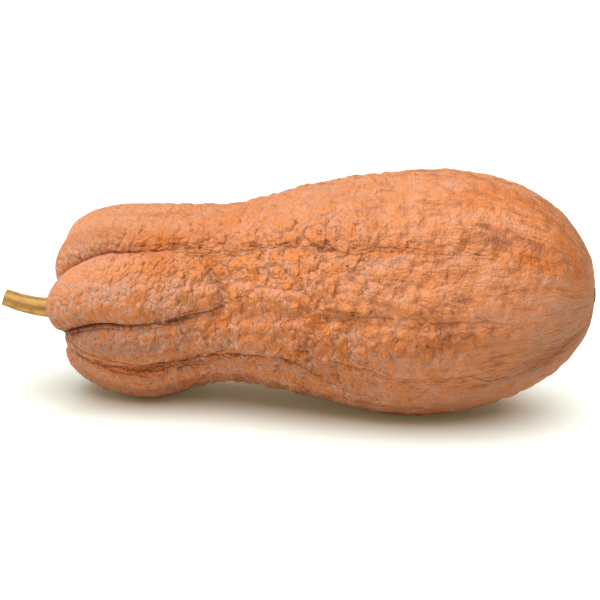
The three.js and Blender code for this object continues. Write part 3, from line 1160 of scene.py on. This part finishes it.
def pale_floor(setup):
    """A wide floor whose tone for the camera differs a little from the one that it reflects."""
    mesh = bmesh.new()
    bmesh.ops.create_grid(mesh, x_segments=1, y_segments=1, size=FLOOR_HALF)
    data = bpy.data.meshes.new("Floor")
    mesh.to_mesh(data)
    mesh.free()
    material, nodes = new_material("Pale floor")
    seen = nodes.add("ShaderNodeLightPath").outputs["Is Camera Ray"]
    tone = nodes.blend(seen, tuple(setup.bounce), tuple(setup.floor))
    glow = tuple(setup.glow)
    nodes.finish({"Base Color": tone, "Roughness": 0.9, "Emission Color": glow, "Emission Strength": seen})
    data.materials.append(material)
    floor = bpy.data.objects.new("Floor", data)
    bpy.context.scene.collection.objects.link(floor)
    return floor


def soft_room(setup):
    """Light from all round, weaker from the right."""
    world = bpy.data.worlds.new("Soft room")
    world.use_nodes = True
    nodes = Nodes(world.node_tree)
    direction = nodes.add("ShaderNodeTexCoord").outputs["Generated"]
    rightward = nodes.add("ShaderNodeSeparateXYZ", {"Vector": direction}).outputs["X"]
    dimmer = nodes.ramp(rightward, *ROOM_DIMS)
    strength = nodes.math("MULTIPLY_ADD", dimmer, -ROOM_DIM_SHARE * setup.room, setup.room)
    background = world.node_tree.nodes["Background"]
    background.inputs["Color"].default_value = (*setup.fill, 1)
    world.node_tree.links.new(strength, background.inputs["Strength"])
    bpy.context.scene.world = world


def front_camera(setup):
    """The camera in front of the squash, turned towards its target."""
    middle = to_frame(np.array((setup.target_along / MM, 0.0, setup.target_height / MM)))
    target = Vector((middle[0], 0, middle[2]))
    back = facing(setup.azimuth, setup.elevation)
    data = bpy.data.cameras.new("Camera")
    data.sensor_width = SENSOR_WIDTH
    data.lens = SENSOR_WIDTH * setup.distance / setup.frame_width
    camera = bpy.data.objects.new("Camera", data)
    camera.location = target + back * setup.distance
    camera.rotation_euler = back.to_track_quat("Z", "Y").to_euler()
    bpy.context.scene.collection.objects.link(camera)
    bpy.context.scene.camera = camera


class SQUASH_OT_stage(Operator):
    """Make the pale floor, the soft lights and the camera."""

    bl_idname = "squash.stage"
    bl_label = "Studio"

    def execute(self, context):
        setup = context.scene.squash_studio
        floor = pale_floor(setup)
        soft_room(setup)
        squash = [bpy.data.objects[name] for name in ("Fruit", "Stalk")]
        soft_sun("Light from the left", *LEFT_LIGHT, setup.sun, squash)
        soft_sun("Light from low on the left", *LOW_LIGHT, setup.side, squash)
        soft_sun("Light overhead", *OVERHEAD_LIGHT, setup.overhead, [floor])
        front_camera(setup)
        context.scene.view_settings.view_transform = "Standard"
        return {"FINISHED"}


class SQUASH_PT_panel(Panel):
    bl_idname = "SQUASH_PT_panel"
    bl_label = "Squash"
    bl_space_type = "VIEW_3D"
    bl_region_type = "UI"
    bl_category = "Squash"

    def draw(self, context):
        for group in GROUPS:
            box = self.layout.box()
            settings = getattr(context.scene, group)
            for name in GROUPS[group].__annotations__:
                box.prop(settings, name)
        for operator in OPERATORS:
            self.layout.operator(operator.bl_idname)


GROUPS = {
    "squash_form": FruitForm,
    "squash_rind": RindColours,
    "squash_stalk": StalkLook,
    "squash_studio": StudioSetup,
}
OPERATORS = (SQUASH_OT_fruit, SQUASH_OT_stalk, SQUASH_OT_stage)
CLASSES = (*GROUPS.values(), *OPERATORS, SQUASH_PT_panel)


def register():
    for cls in CLASSES:
        bpy.utils.register_class(cls)
    for name, group in GROUPS.items():
        setattr(bpy.types.Scene, name, PointerProperty(type=group))


def unregister():
    for name in GROUPS:
        delattr(bpy.types.Scene, name)
    for cls in reversed(CLASSES):
        bpy.utils.unregister_class(cls)


def main():
    register()
    bpy.ops.squash.fruit()
    bpy.ops.squash.stalk()
    bpy.ops.squash.stage()


if __name__ == "__main__":
    main()
